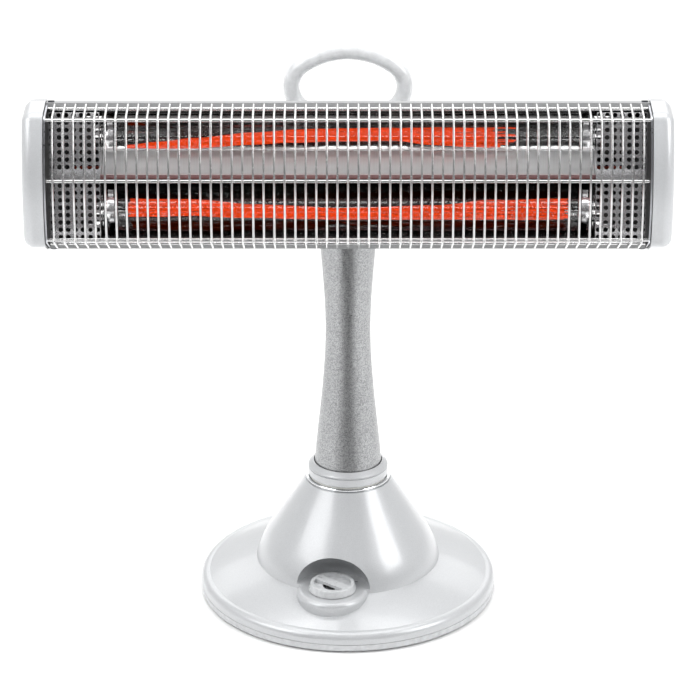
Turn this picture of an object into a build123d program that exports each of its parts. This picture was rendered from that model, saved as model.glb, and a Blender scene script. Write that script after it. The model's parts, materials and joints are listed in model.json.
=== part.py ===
from build123d import *
from math import atan2, cos, degrees, pi, radians, sin, tan
import os

# Free-standing carbon-tube radiant heater: a round weighted base, a waisted post that swings,
# and a wide head that tilts.  Millimetres, +Z up, the head faces -Y.
# Origin: the centre of the base's underside, on the table.

# ---- base -------------------------------------------------------------------------------
BASE_RADIUS = 136.0
SHELL_WALL = 2.5
FOOT_PROUD = 1.5            # the rubber feet hold the pan this far off the table
FOOT_RADIUS = 9.0
FOOT_RECESS = 1.0
FOOT_CIRCLE = 118.0
FOOT_COUNT = 6
PAN_TOP = 8.0
PAN_FLOOR = 2.5
PAN_WALL = 3.0
PARTING_GAP = 0.4           # shadow line between pan and shell
RIM_TOP = 18.6
RIM_ROUND_START = 13.0
RIM_FLAT = 8.0
CREASE_RADIUS = 84.5        # where the flared cone meets the disc
CREASE_HEIGHT = 32.5
CONE_TOP_RADIUS = 39.5
CONE_TOP = 112.0
CONE_SLOPE = 1.19           # horizontal distance through the cone wall over its thickness
BASE_TURN = -10.0           # the base is turned this much from the head, seen from above
BOSS_CIRCLE = 112.0
BOSS_RADIUS = 5.0
SCREW_RADIUS = 1.6
SCREW_HEAD_RADIUS = 3.2
BALLAST_RADIUS = 102.0
BALLAST_THICKNESS = 6.0

# ---- knob pod -----------------------------------------------------------------------------
POD_CIRCLE = 81.0
POD_RADIUS = 32.3
POD_TOP = 36.0
POD_ROUND = 4.5
NICHE_RADIUS = 34.0
NICHE_HEIGHT = 27.0
NICHE_ROUND = 1.6
KNOB_RADIUS = 21.5
KNOB_TOP_RADIUS = 19.85
KNOB_HEIGHT = 6.2
KNOB_GAP = 0.6
KNOB_SKIRT = 2.0
KNOB_BAR = 9.0
KNOB_DISH = 3.6
KNOB_RING = 3.0             # rim left round the two recesses
KNOB_DISH_ROUND = 4.4
KNOB_POINTS_AT = 139.0      # degrees from +X, at the mark for off
KNOB_STEP = 36.0
MARK_CIRCLE = 24.6
MARK_SIZE = 3.4
MARK_PROUD = 0.25
SWITCH_SIDE = 28.0
SWITCH_DEPTH = 18.0
SWITCH_NECK_RADIUS = 5.0
SHAFT_RADIUS = 3.0

# ---- cord inlet, at the back ----------------------------------------------------------------
GLAND_Z = 46.0
GLAND_RADIUS = 8.0
GLAND_FLANGE = 10.5
GLAND_REACH = 100.0
GLAND_INNER = 70.0
CORD_BORE = 3.6
GLAND_SEAT = 81.5

# ---- swing drive --------------------------------------------------------------------------
RUNNING = 0.05              # radial running clearance of every turning fit
SEAT = 0.02                 # radial clearance of every fixed fit
NECK_RADIUS = 31.0
BUSH_RADIUS = 27.0
SPIGOT_RADIUS = 24.0
HUB_BORE = 14.0
NECK_BOTTOM = 84.0
GEAR_MODULE = 1.25
GEAR_TEETH = 48
PINION_TEETH = 14
ADDENDUM = 0.8              # in modules
DEDENDUM = 1.05
PRESSURE_ANGLE = 20.0
BACKLASH = 0.08             # taken off each flank
GEAR_SEAT_RADIUS = 20.0
GEAR_BOTTOM = 64.0
GEAR_FACE = 8.0
GEAR_SCREW_RADIUS = 1.2
GEAR_SCREW_HEAD = 4.4
MOTOR_DIRECTION = 80.0
MOTOR_RADIUS = 21.0
MOTOR_HEIGHT = 18.0
MOTOR_TOP = 58.0
MOTOR_SHAFT = 2.5
SWING_BACK = -45.0          # swivel range, from rest
SWING_FORWARD = 25.0
STOP_WIDTH = 8.0
STOP_LUG_HALF = 6.0

# ---- post -----------------------------------------------------------------------------------
TRIM_RADIUS = 39.0
TRIM_BOTTOM = 113.1
TRIM_TOP = 114.9
COLLAR_BOTTOM = 116.0
COLLAR_RADIUS = 36.5
COLLAR_SHOULDER = 126.0
COLLAR_GROOVE = 123.6         # shadow groove round the collar
COLLAR_GROOVE_HALF = 0.5
COLLAR_TOP = 129.0
HUB_FLANGE_RADIUS = 33.0
POST_FOOT = 120.0
POST_TOP = 352.0
POST_FOOT_RADIUS = 31.0
POST_WAIST_RADIUS = 20.35
POST_WAIST = 266.0
POST_TOP_RADIUS = 25.9
POST_WALL = 1.8
WIRE_RADIUS = 1.6

# ---- tilt hinge -------------------------------------------------------------------------------
HINGE_Y = -2.0
HINGE_Z = 414.0
HINGE_NOSE = 11.0
HINGE_BOLT = 4.0
POST_HEAD_HALF = 22.0
POST_HEAD_BACK = 30.0
POST_HEAD_TOP = 440.0
WASHER_THICKNESS = 0.5
EAR_GAP = 0.1
EAR_THICKNESS = 3.0
EAR_RADIUS = 12.0

# ---- carry handle -----------------------------------------------------------------------------
HANDLE_WIDTH = 114.0
HANDLE_HEIGHT = 79.0
HANDLE_TUBE = 7.25
HANDLE_END_RADIUS = 24.0      # of the ring's two tight ends, to the tube's centre
HANDLE_Y = 19.0
HANDLE_SINK = 0.5
HANDLE_FOOT_HALF = 13.0
HANDLE_FOOT_DEPTH = 15.0

# ---- head, in its own frame: y runs from the grille to the back, z up its face ------------------
HEAD_WIDTH = 554.0
HEAD_TILT = -11.0           # face tipped up
HEAD_Y = -92.1
HEAD_Z = 430.4
CAP_WIDTH = 18.4
CAP_PROUD = 1.5
CAP_WALL = 2.4
CAP_ROUND = 9.0
CAP_GAP = 0.4
HOUSING_HALF = 63.2
HOUSING_FRONT = 28.0
HOUSING_FLAT_END = 50.0
HOUSING_BACK = 73.0
HOUSING_ROUND = 14.0
HOUSING_WALL = 1.2
LIP = 6.0
GRILLE_HALF = 53.7
GRILLE_BULGE = 8.0
GRILLE_CREST = 10.65         # where the wire's two straight halves would meet
GRILLE_BOW = 140.0
GRILLE_KNEE = 5.0
GRILLE_RIM_HALF = 61.7
WIRE_PITCH = 8.95
GRILLE_WIRES = 57
GRILLE_WIRE_RADIUS = 1.0
GRILLE_BAR_RADIUS = 1.4
SIDE_PLATE = 1.6
VENT_PLATE_WIDTH = 44.0
VENT_PLATE_HALF = 55.2
VENT_PLATE_Y = 27.0
VENT_HOLE = 2.0
VENT_PITCH = 6.4
VENT_COLUMNS = 7
VENT_ROWS = 8
VENT_FIRST_ROW = 8.0
SHEET = 0.8
TROUGH_RADIUS = 29.6
TROUGH_Z = 29.2
TROUGH_Y = 30.0
TUBE_Y = 43.0
TUBE_Z = 31.0
TUBE_RADIUS = 11.0
TUBE_WALL = 1.2
TUBE_HALF = 224.0
RIBBON_HALF = 192.0
RIBBON_WIDTH = 15.0
RIBBON_THICKNESS = 0.6
RIBBON_TURNS = 1.5
CERAMIC_RADIUS = 13.0
SHIELD_GAP = 3.0
SLOT_COUNT = 13
SLOT_LENGTH = 22.0
SLOT_HEIGHT = 3.6
SLOT_PITCH = 36.0
LEAD_HOLE = 6.0
LEAD_Z = -33.0

EXTRA = 1.0                 # how far a cutter runs past a face

# ---- values worked out from those above ---------------------------------------------------------
PAN_BOTTOM = FOOT_PROUD
PAN_INSIDE = PAN_BOTTOM + PAN_FLOOR
SHELL_BOTTOM = PAN_TOP + PARTING_GAP
POD_ANGLE = -90.0 + BASE_TURN
POD_X = POD_CIRCLE * cos(radians(POD_ANGLE))
POD_Y = POD_CIRCLE * sin(radians(POD_ANGLE))
KNOB_BOTTOM = POD_TOP + KNOB_GAP
KNOB_TOP = KNOB_BOTTOM + KNOB_HEIGHT
GEAR_TOP = GEAR_BOTTOM + GEAR_FACE
DRIVE_CENTRES = GEAR_MODULE * (GEAR_TEETH + PINION_TEETH) / 2
MOTOR_X = DRIVE_CENTRES * cos(radians(MOTOR_DIRECTION))
MOTOR_Y = DRIVE_CENTRES * sin(radians(MOTOR_DIRECTION))
EAR_INSIDE = POST_HEAD_HALF + WASHER_THICKNESS + EAR_GAP
EAR_OUTSIDE = EAR_INSIDE + EAR_THICKNESS
HANDLE_Z = POST_HEAD_TOP - HANDLE_SINK + HANDLE_HEIGHT / 2
HEAD_HALF = HEAD_WIDTH / 2
CAP_INSIDE = HEAD_HALF - CAP_WIDTH
HOUSING_END = CAP_INSIDE - CAP_GAP
INNER_END = HOUSING_END - SIDE_PLATE
CHAMBER_END = INNER_END - VENT_PLATE_WIDTH
HEAD = Location((0, HEAD_Y, HEAD_Z), (HEAD_TILT, 0, 0))


# ---- helpers --------------------------------------------------------------------------------------
def rod(radius, low, high, x=0.0, y=0.0):
    """A solid cylinder along Z."""
    return Pos(x, y, (low + high) / 2) * Cylinder(radius, high - low)


def ring(outer, inner, low, high, x=0.0, y=0.0):
    """A plain tube along Z."""
    return rod(outer, low, high, x, y) - rod(inner, low - EXTRA, high + EXTRA, x, y)


def cross_rod(radius, left, right, y, z):
    """A solid cylinder along X."""
    return Pos((left + right) / 2, y, z) * Rot(0, 90, 0) * Cylinder(radius, right - left)


def block(x0, x1, y0, y1, z0, z1):
    """A box from its two corners."""
    return Pos((x0 + x1) / 2, (y0 + y1) / 2, (z0 + z1) / 2) * Box(x1 - x0, y1 - y0, z1 - z0)


def turned(*edges):
    """A solid turned about Z from an outline of edges in the XZ plane."""
    return revolve(make_face(edges), axis=Axis.Z)


def turned_points(points):
    """A solid turned about Z from straight-sided (radius, height) points."""
    outline = [(radius, 0, height) for radius, height in points]
    return revolve(make_face(Polyline(*outline, close=True)), axis=Axis.Z)


def around(angle, distance):
    """The x, y of a place at this angle and distance from the post's axis."""
    return distance * cos(radians(angle)), distance * sin(radians(angle))


def sector(outer, inner, low, high, middle, half):
    """A piece of a ring, between two radii and two heights, half degrees each side of middle."""
    wedge_reach = outer * 2
    corners = [(0, 0)]
    for edge in (middle - half, middle + half):
        corners.append(around(edge, wedge_reach))
    wedge = extrude(Pos(0, 0, low) * make_face(Polyline(*corners, close=True)), high - low)
    return ring(outer, inner, low, high) & wedge


def across(section, left, right):
    """A (y, z) section of the head drawn out along X."""
    return extrude(Plane.YZ.offset(left) * section, right - left)


def wire(points, radius, corner):
    """A round wire along straight runs joined by arcs."""
    path = FilletPolyline(*points, radius=corner)
    start = Plane(path @ 0, z_dir=path % 0)
    return sweep(start * Circle(radius), path=path)


def mirrored(solid):
    """The solid and its twin on the other side of the head."""
    return [solid, mirror(solid, about=Plane.YZ)]


# ---- base -----------------------------------------------------------------------------------------
def base_body(inset, bottom):
    """The disc and flared cone, as one solid; inset gives the hollow inside it."""
    side = BASE_RADIUS - inset
    rim_r = BASE_RADIUS - RIM_FLAT - inset / 2
    rim_z = RIM_TOP - inset
    crease_r = CREASE_RADIUS - CONE_SLOPE * inset
    crease_z = CREASE_HEIGHT - inset
    top_r = CONE_TOP_RADIUS - CONE_SLOPE * inset
    top_z = CONE_TOP - inset * 1.2
    rise = CONE_TOP - CREASE_HEIGHT
    run = CREASE_RADIUS - CONE_TOP_RADIUS
    start = (side, 0, RIM_ROUND_START)
    rim = (rim_r, 0, rim_z)
    rim_mid = (side - RIM_FLAT * 0.26, 0, RIM_ROUND_START + (rim_z - RIM_ROUND_START) * 0.72)
    crease = (crease_r, 0, crease_z)
    disc_mid = ((rim_r + crease_r) / 2, 0, (rim_z + crease_z) / 2 + 0.8)
    bell = [crease]
    for share_in, share_up in ((0.11, 0.19), (0.31, 0.39), (0.69, 0.72)):
        bell.append((crease_r - share_in * run, 0, CREASE_HEIGHT + share_up * rise))
    bell.append((top_r, 0, top_z))
    return turned(
        Line((0, 0, bottom), (side, 0, bottom)),
        Line((side, 0, bottom), start),
        ThreePointArc(start, rim_mid, rim),
        ThreePointArc(rim, disc_mid, crease),
        Spline(*bell),
        Line((top_r, 0, top_z), (0, 0, top_z)),
        Line((0, 0, top_z), (0, 0, bottom)),
    )


def pod_body():
    """The round boss that the knob stands on."""
    boss = rod(POD_RADIUS, SHELL_BOTTOM, POD_TOP, POD_X, POD_Y)
    return fillet(boss.edges().group_by(Axis.Z)[-1], POD_ROUND)


def niche(grow):
    """The cave over the knob, cut into the cone."""
    bowl = scale(Sphere(1), by=(NICHE_RADIUS + grow, NICHE_RADIUS + grow, NICHE_HEIGHT + grow))
    floor = POD_TOP - grow
    keep = rod(2 * NICHE_RADIUS, POD_TOP, POD_TOP + 2 * NICHE_HEIGHT)
    return Pos(POD_X, POD_Y, floor) * (Pos(0, 0, -POD_TOP) * keep & bowl)


def base_shell():
    """Moulded cover: disc, cone, knob pod, neck for the bearing, screw bosses and stop ribs."""
    outside = base_body(0, SHELL_BOTTOM) + pod_body()
    shell = outside - base_body(SHELL_WALL, SHELL_BOTTOM - EXTRA)
    shell -= rod(POD_RADIUS - SHELL_WALL, SHELL_BOTTOM, POD_TOP - SHELL_WALL, POD_X, POD_Y)
    shell += niche(SHELL_WALL) & outside
    shell -= niche(0)
    outside -= niche(0)
    shell += rod(NECK_RADIUS, NECK_BOTTOM, CONE_TOP)
    for quarter in range(4):
        x, y = around(45 + 90 * quarter, BOSS_CIRCLE)
        shell += rod(BOSS_RADIUS, PAN_INSIDE, RIM_TOP + 2, x, y)
        shell -= rod(SCREW_RADIUS + SEAT, PAN_INSIDE - EXTRA, RIM_TOP, x, y)
        rib = block(BUSH_RADIUS + 2, CONE_TOP_RADIUS + 6, -1.25, 1.25, NECK_BOTTOM + 6, CONE_TOP - 1)
        shell += Rot(0, 0, 45 + 90 * quarter) * rib & outside
    low = MOTOR_DIRECTION + 180 + SWING_BACK - STOP_LUG_HALF - 1
    high = MOTOR_DIRECTION + 180 + SWING_FORWARD + STOP_LUG_HALF + 1
    for middle in (low - STOP_WIDTH / 2, high + STOP_WIDTH / 2):
        stop = sector(NECK_RADIUS, BUSH_RADIUS, GEAR_TOP + 2, NECK_BOTTOM + 1, middle, STOP_WIDTH / 2)
        shell += stop
    shell -= rod(BUSH_RADIUS + SEAT, GEAR_TOP, CONE_TOP + EXTRA)
    shell -= rod(SWITCH_NECK_RADIUS + SEAT, POD_TOP - 2 * SHELL_WALL, POD_TOP + EXTRA, POD_X, POD_Y)
    return shell - gland_cut()


def base_pan():
    """Bottom tray that closes the base."""
    pan = rod(BASE_RADIUS, PAN_BOTTOM, PAN_TOP)
    pan = fillet(pan.edges().group_by(Axis.Z)[0], 2.0)
    pan -= rod(BASE_RADIUS - PAN_WALL, PAN_INSIDE, PAN_TOP + EXTRA)
    lip_radius = BASE_RADIUS - SHELL_WALL - 0.3
    pan += ring(lip_radius, lip_radius - 2, PAN_INSIDE, PAN_TOP + 3)
    for turn in range(FOOT_COUNT):
        x, y = around(360 / FOOT_COUNT * turn, FOOT_CIRCLE)
        pan -= rod(FOOT_RADIUS + SEAT, PAN_BOTTOM - EXTRA, PAN_BOTTOM + FOOT_RECESS, x, y)
    for quarter in range(4):
        x, y = around(45 + 90 * quarter, BOSS_CIRCLE)
        pan -= rod(SCREW_RADIUS + 0.3, PAN_BOTTOM - EXTRA, PAN_INSIDE + EXTRA, x, y)
        pan -= rod(SCREW_HEAD_RADIUS + 0.3, PAN_BOTTOM - EXTRA, PAN_BOTTOM + 1.5, x, y)
    return pan


def rubber_feet():
    """Soft pads pressed into the pan."""
    feet = []
    for turn in range(FOOT_COUNT):
        x, y = around(360 / FOOT_COUNT * turn, FOOT_CIRCLE)
        foot = rod(FOOT_RADIUS, 0, PAN_BOTTOM + FOOT_RECESS, x, y)
        feet.append(chamfer(foot.edges().group_by(Axis.Z)[0], 0.5))
    return Compound(feet)


def pan_screws():
    """Four screws from below into the shell's bosses."""
    screws = []
    for quarter in range(4):
        x, y = around(45 + 90 * quarter, BOSS_CIRCLE)
        screw = rod(SCREW_RADIUS, PAN_BOTTOM, RIM_TOP - 3, x, y)
        screw += rod(SCREW_HEAD_RADIUS, PAN_BOTTOM + 0.1, PAN_BOTTOM + 1.5, x, y)
        slot = block(x - 2, x + 2, y - 0.5, y + 0.5, PAN_BOTTOM - EXTRA, PAN_BOTTOM + 0.9)
        screws.append(screw - slot)
    return Compound(screws)


def ballast_plate():
    """Steel weight lying in the pan."""
    plate = rod(BALLAST_RADIUS, PAN_INSIDE, PAN_INSIDE + BALLAST_THICKNESS)
    return plate - rod(6, PAN_INSIDE - EXTRA, PAN_INSIDE + BALLAST_THICKNESS + EXTRA)


def trim_ring():
    """Bright ring between the cone and the collar."""
    return turned_points([
        (CONE_TOP_RADIUS - 3.5, CONE_TOP), (TRIM_RADIUS - 1.5, CONE_TOP),
        (TRIM_RADIUS - 1.5, TRIM_BOTTOM), (TRIM_RADIUS - 0.4, TRIM_BOTTOM),
        (TRIM_RADIUS, TRIM_BOTTOM + 0.6), (TRIM_RADIUS, TRIM_TOP - 0.6),
        (TRIM_RADIUS - 0.4, TRIM_TOP), (CONE_TOP_RADIUS - 3.5, TRIM_TOP),
    ])


def bearing_bush():
    """Flanged plain bearing pressed into the neck."""
    bush = ring(BUSH_RADIUS, SPIGOT_RADIUS + RUNNING, NECK_BOTTOM, CONE_TOP)
    flange = ring(CONE_TOP_RADIUS - 4, SPIGOT_RADIUS + RUNNING, CONE_TOP, CONE_TOP + 2)
    return bush + flange


def thrust_washer():
    """Slippery washer that carries the weight of post and head."""
    return ring(CONE_TOP_RADIUS - 4, SPIGOT_RADIUS + 1, CONE_TOP + 2, COLLAR_BOTTOM - 0.1)


# ---- knob and switch ------------------------------------------------------------------------------
def rotary_switch():
    """Four-position switch held under the pod by its threaded neck."""
    top = POD_TOP - SHELL_WALL
    half = SWITCH_SIDE / 2
    body = Pos(POD_X, POD_Y, top - SWITCH_DEPTH / 2) * Box(SWITCH_SIDE, SWITCH_SIDE, SWITCH_DEPTH)
    body = fillet(body.edges().filter_by(Axis.Z), 2.0)
    body += rod(SWITCH_NECK_RADIUS, top, POD_TOP + 3.4, POD_X, POD_Y)
    for side in (-1, 1):
        x = POD_X + side * (half + 2)
        ear = top - SWITCH_DEPTH + 5
        body += block(x - 2.5, x + 2.5, POD_Y - 5, POD_Y + 5, ear, ear + SHEET)
    return body - rod(SHAFT_RADIUS + RUNNING, top - 10, POD_TOP + 5, POD_X, POD_Y)


def switch_nut():
    """Hexagon nut that clamps the switch to the pod."""
    nut = extrude(Pos(POD_X, POD_Y, POD_TOP) * RegularPolygon(8, 6), 1.8)
    return nut - rod(SWITCH_NECK_RADIUS + SEAT, POD_TOP - EXTRA, POD_TOP + 3, POD_X, POD_Y)


def switch_shaft():
    """Shaft of the switch, with the flat that drives the knob."""
    shaft = rod(SHAFT_RADIUS, POD_TOP - SHELL_WALL - 8, KNOB_TOP - 2, POD_X, POD_Y)
    flat = block(POD_X + 1.9, POD_X + 4, POD_Y - 4, POD_Y + 4, KNOB_TOP - 2.6, KNOB_TOP)
    return shaft - flat


def knob():
    """Round knob with a grip bar between two dished recesses."""
    outer = Pos(0, 0, KNOB_BOTTOM + KNOB_HEIGHT / 2) * Cone(KNOB_RADIUS, KNOB_TOP_RADIUS, KNOB_HEIGHT)
    body = fillet(outer.edges().group_by(Axis.Z)[-1], 0.8)
    hollow = rod(KNOB_TOP_RADIUS - KNOB_SKIRT, KNOB_BOTTOM - EXTRA, KNOB_TOP - KNOB_DISH - 1.6)
    body -= hollow
    nut_room = rod(8.6, KNOB_BOTTOM - EXTRA, POD_TOP + 4)
    body += rod(6, KNOB_BOTTOM + 0.4, KNOB_TOP - 1.5)
    body -= nut_room
    reach = KNOB_TOP_RADIUS - KNOB_RING
    dish = rod(reach, KNOB_TOP - KNOB_DISH, KNOB_TOP + EXTRA)
    bar = block(-reach - 2, reach + 2, -KNOB_BAR / 2, KNOB_BAR / 2, KNOB_BOTTOM, KNOB_TOP + 2 * EXTRA)
    for recess in (dish - bar).solids():
        body -= fillet(recess.edges().filter_by(Axis.Z), KNOB_DISH_ROUND)
    pointer = block(KNOB_TOP_RADIUS - 8, KNOB_TOP_RADIUS - 2, -0.6, 0.6, KNOB_TOP - 0.5, KNOB_TOP + EXTRA)
    body -= pointer
    body -= rod(SHAFT_RADIUS + SEAT, KNOB_BOTTOM - EXTRA, KNOB_TOP - 1.9)
    return Location((POD_X, POD_Y, 0), (0, 0, KNOB_POINTS_AT)) * body


def dial_marks():
    """Raised marks on the pod: off, one tube, two tubes, and two tubes with swing."""
    wide = MARK_SIZE * 0.55
    bar = block(-0.3, 0.3, -MARK_SIZE / 2, MARK_SIZE / 2, 0, MARK_PROUD)
    zero = extrude(Ellipse(wide / 2 + 0.3, MARK_SIZE / 2), MARK_PROUD)
    zero -= Pos(0, 0, -EXTRA) * extrude(Ellipse(wide / 2 - 0.3, MARK_SIZE / 2 - 0.6), 3 * EXTRA)
    swing = Pos(0, -MARK_SIZE / 2, 0) * sector(MARK_SIZE, MARK_SIZE - 0.6, 0, MARK_PROUD, 90, 38)
    signs = [[zero], [bar], [Pos(-0.8, 0, 0) * bar, Pos(0.8, 0, 0) * bar], [swing]]
    marks = []
    for step, sign in enumerate(signs):
        x, y = around(KNOB_POINTS_AT - KNOB_STEP * step, MARK_CIRCLE)
        place = Pos(POD_X + x, POD_Y + y, POD_TOP)
        marks += [place * solid for solid in sign]
    return Compound(marks)


# ---- cord inlet and base wiring -----------------------------------------------------------------



def radial(solid):
    """Lays a piece made along +Z so that it points out of the back of the base."""
    return Pos(0, 0, GLAND_Z) * Rot(0, 0, MOTOR_DIRECTION) * Rot(0, 90, 0) * solid


def gland_cut():
    """Hole in the cone for the cord gland."""
    return radial(rod(GLAND_RADIUS + SEAT, GLAND_INNER, GLAND_SEAT)) + radial(
        rod(GLAND_FLANGE + 0.3, GLAND_SEAT, GLAND_REACH))


def cord_gland():
    """Inlet bushing; the cord itself is left out."""
    body = radial(rod(GLAND_RADIUS, GLAND_INNER, GLAND_SEAT)) + radial(
        rod(GLAND_FLANGE, GLAND_SEAT, GLAND_SEAT + 5))
    nose = Pos(0, 0, (GLAND_SEAT + 5 + GLAND_REACH) / 2) * Cone(7.4, 5.6, GLAND_REACH - GLAND_SEAT - 5)
    body += radial(nose)
    return body - radial(rod(CORD_BORE, GLAND_INNER - EXTRA, GLAND_REACH + EXTRA))


def cord_clamp():
    """Saddle on the ballast that grips the cord just inside the inlet."""
    floor = PAN_INSIDE + BALLAST_THICKNESS
    saddle = block(64, 76, -12, 12, floor, floor + 9) - block(63, 77, -5, 5, floor + 2, floor + 6)
    return Rot(0, 0, MOTOR_DIRECTION) * saddle


def terminal_block(length, depth, height, ways):
    """Terminal strip with a clamping screw for each way."""
    strip = Pos(0, 0, height / 2) * Box(length, depth, height)
    step = length / ways
    for way in range(ways):
        x = (way - (ways - 1) / 2) * step
        strip -= rod(step * 0.3, height - 4, height + EXTRA, x, 0)
        strip -= Pos(x, 0, 3.5) * Rot(90, 0, 0) * Cylinder(1.8, depth + 2 * EXTRA)
    return strip


def base_terminal_block():
    """Joins the cord to the switch, the motor and the lead up the post."""
    floor = PAN_INSIDE + BALLAST_THICKNESS
    return Pos(52, -6, floor) * Rot(0, 0, 90) * terminal_block(50, 18, 14, 5)


def tip_over_switch():
    """Sealed switch that cuts the power if the heater falls."""
    floor = PAN_INSIDE + BALLAST_THICKNESS
    body = fillet(block(-66, -46, -14, 14, floor, floor + 22).edges().filter_by(Axis.Z), 2)
    ears = block(-70, -42, -4, 4, floor, floor + 2)
    return body + ears


def base_wires():
    """Leads inside the base, from the terminal block to the switch, the motor and the tip switch."""
    level = PAN_INSIDE + BALLAST_THICKNESS + 3.5
    left = 42.0
    runs = [
        [(left, -26, level), (24, -26, level), (20, -66, level + 12), (POD_X + 15.7, POD_Y, level + 12)],
        [(left, -6, level), (0, -6, level), (-41.5, -10, level)],
        [(left, 14, level), (22, 12, level), (17.4, 18.2, level + 30)],
    ]
    return Compound([wire(points, WIRE_RADIUS, 4.0) for points in runs])


# ---- swing drive ----------------------------------------------------------------------------------
def gear_outline(teeth, phase):
    """Spur gear with involute flanks; a tooth is centred on the phase angle."""
    pitch_r = GEAR_MODULE * teeth / 2
    base_r = pitch_r * cos(radians(PRESSURE_ANGLE))
    root_r = pitch_r - DEDENDUM * GEAR_MODULE
    tip_r = pitch_r + ADDENDUM * GEAR_MODULE
    pitch_roll = tan(radians(PRESSURE_ANGLE)) - radians(PRESSURE_ANGLE)
    half_at_pitch = pi / (2 * teeth) - BACKLASH / pitch_r
    flank = []
    low_r = max(base_r, root_r + 0.1)
    for step in range(5):
        radius = low_r + (tip_r - low_r) * step / 4
        roll = (max(radius / base_r, 1.0) ** 2 - 1) ** 0.5
        half = half_at_pitch + pitch_roll - (roll - atan2(roll, 1))
        flank.append((radius, half))
    points = []
    for tooth in range(teeth):
        centre = radians(phase) + 2 * pi * tooth / teeth
        rising = [(root_r, -flank[0][1])] + [(radius, -half) for radius, half in flank]
        falling = [(radius, half) for radius, half in reversed(flank)] + [(root_r, flank[0][1])]
        for radius, offset in rising + falling:
            points.append((radius * cos(centre + offset), radius * sin(centre + offset)))
    return make_face(Polyline(*points, close=True))


def swing_gear():
    """Gear ring on the foot of the swivel hub, with the lug that meets the stops."""
    gear = extrude(Pos(0, 0, GEAR_BOTTOM) * gear_outline(GEAR_TEETH, MOTOR_DIRECTION), GEAR_FACE)
    gear -= rod(GEAR_SEAT_RADIUS + SEAT, GEAR_BOTTOM - EXTRA, GEAR_TOP + EXTRA)
    lug = sector(NECK_RADIUS - 0.5, BUSH_RADIUS + 0.5, GEAR_TOP - 1, NECK_BOTTOM - 2,
                 MOTOR_DIRECTION + 180, STOP_LUG_HALF)
    return gear + lug


def drive_pinion():
    """Pinion on the motor shaft."""
    phase = MOTOR_DIRECTION + 180 - 180 / PINION_TEETH
    pinion = Pos(MOTOR_X, MOTOR_Y, GEAR_BOTTOM - 1) * extrude(gear_outline(PINION_TEETH, phase), GEAR_FACE + 2)
    return pinion - rod(MOTOR_SHAFT + SEAT, 0, GEAR_TOP + 3, MOTOR_X, MOTOR_Y)


def motor_shaft():
    """Output shaft of the gear motor."""
    return rod(MOTOR_SHAFT, MOTOR_TOP - 6, GEAR_TOP + 1.5, MOTOR_X, MOTOR_Y)


def swing_motor():
    """Slow reversing gear motor that swings the post."""
    motor = rod(MOTOR_RADIUS, MOTOR_TOP - MOTOR_HEIGHT, MOTOR_TOP, MOTOR_X, MOTOR_Y)
    motor = fillet(motor.edges().group_by(Axis.Z)[0], 2)
    return motor - rod(MOTOR_SHAFT + RUNNING, MOTOR_TOP - 7, MOTOR_TOP + EXTRA, MOTOR_X, MOTOR_Y)


def motor_bracket():
    """Bridge over the motor, standing on the ballast plate."""
    floor = PAN_INSIDE + BALLAST_THICKNESS
    near = DRIVE_CENTRES - 19
    far = DRIVE_CENTRES + 19
    half = MOTOR_RADIUS + 5
    bridge = block(near, far, -half, half, MOTOR_TOP, MOTOR_TOP + 2)
    for side in (-1, 1):
        bridge += block(near + 8, far - 8, side * half - 1, side * half + 1, floor, MOTOR_TOP + 2)
        outer = side * (half + 5)
        bridge += block(near + 8, far - 8, outer - 6, outer + 6, floor, floor + 2)
    bridge -= rod(MOTOR_SHAFT + 3, MOTOR_TOP - EXTRA, MOTOR_TOP + 4, DRIVE_CENTRES, 0)
    return Rot(0, 0, MOTOR_DIRECTION) * bridge


# ---- post -----------------------------------------------------------------------------------------
def swivel_hub():
    """Turning spigot: runs in the bush, carries the post above and the gear below."""
    hub = rod(HUB_FLANGE_RADIUS, COLLAR_BOTTOM, POST_FOOT)
    hub += rod(SPIGOT_RADIUS, GEAR_TOP, COLLAR_BOTTOM)
    hub += rod(GEAR_SEAT_RADIUS, GEAR_BOTTOM, GEAR_TOP)
    hub += rod(POST_FOOT_RADIUS - POST_WALL - 1.2, POST_FOOT, POST_FOOT + 10)
    hub -= rod(HUB_BORE, GEAR_BOTTOM - EXTRA, POST_FOOT + 10 + EXTRA)
    for turn in range(3):
        x, y = around(120 * turn + 30, (GEAR_SEAT_RADIUS + HUB_BORE) / 2)
        hub -= rod(GEAR_SCREW_RADIUS + SEAT, GEAR_BOTTOM - EXTRA, GEAR_TOP + 6, x, y)
    return hub


def gear_screws():
    """Three screws with wide heads that hold the gear on the hub."""
    screws = []
    for turn in range(3):
        x, y = around(120 * turn + 30, (GEAR_SEAT_RADIUS + HUB_BORE) / 2)
        shank = rod(GEAR_SCREW_RADIUS, GEAR_BOTTOM, GEAR_TOP + 5, x, y)
        screws.append(shank + rod(GEAR_SCREW_HEAD, GEAR_BOTTOM - 2, GEAR_BOTTOM, x, y))
    return Compound(screws)


def swivel_collar():
    """Moulded collar round the foot of the post."""
    bore = POST_FOOT_RADIUS + 0.3
    flange = HUB_FLANGE_RADIUS + 0.3
    return turned_points([
        (flange, COLLAR_BOTTOM), (COLLAR_RADIUS - 0.5, COLLAR_BOTTOM),
        (COLLAR_RADIUS, COLLAR_BOTTOM + 0.5), (COLLAR_RADIUS, COLLAR_GROOVE - COLLAR_GROOVE_HALF),
        (COLLAR_RADIUS - 0.9, COLLAR_GROOVE), (COLLAR_RADIUS, COLLAR_GROOVE + COLLAR_GROOVE_HALF),
        (COLLAR_RADIUS - 0.3, COLLAR_SHOULDER - 1.0),
        (COLLAR_RADIUS - 1.2, COLLAR_SHOULDER), (bore + 0.7, COLLAR_TOP),
        (bore, COLLAR_TOP), (bore, POST_FOOT + 0.2), (flange, POST_FOOT + 0.2),
    ])


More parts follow.
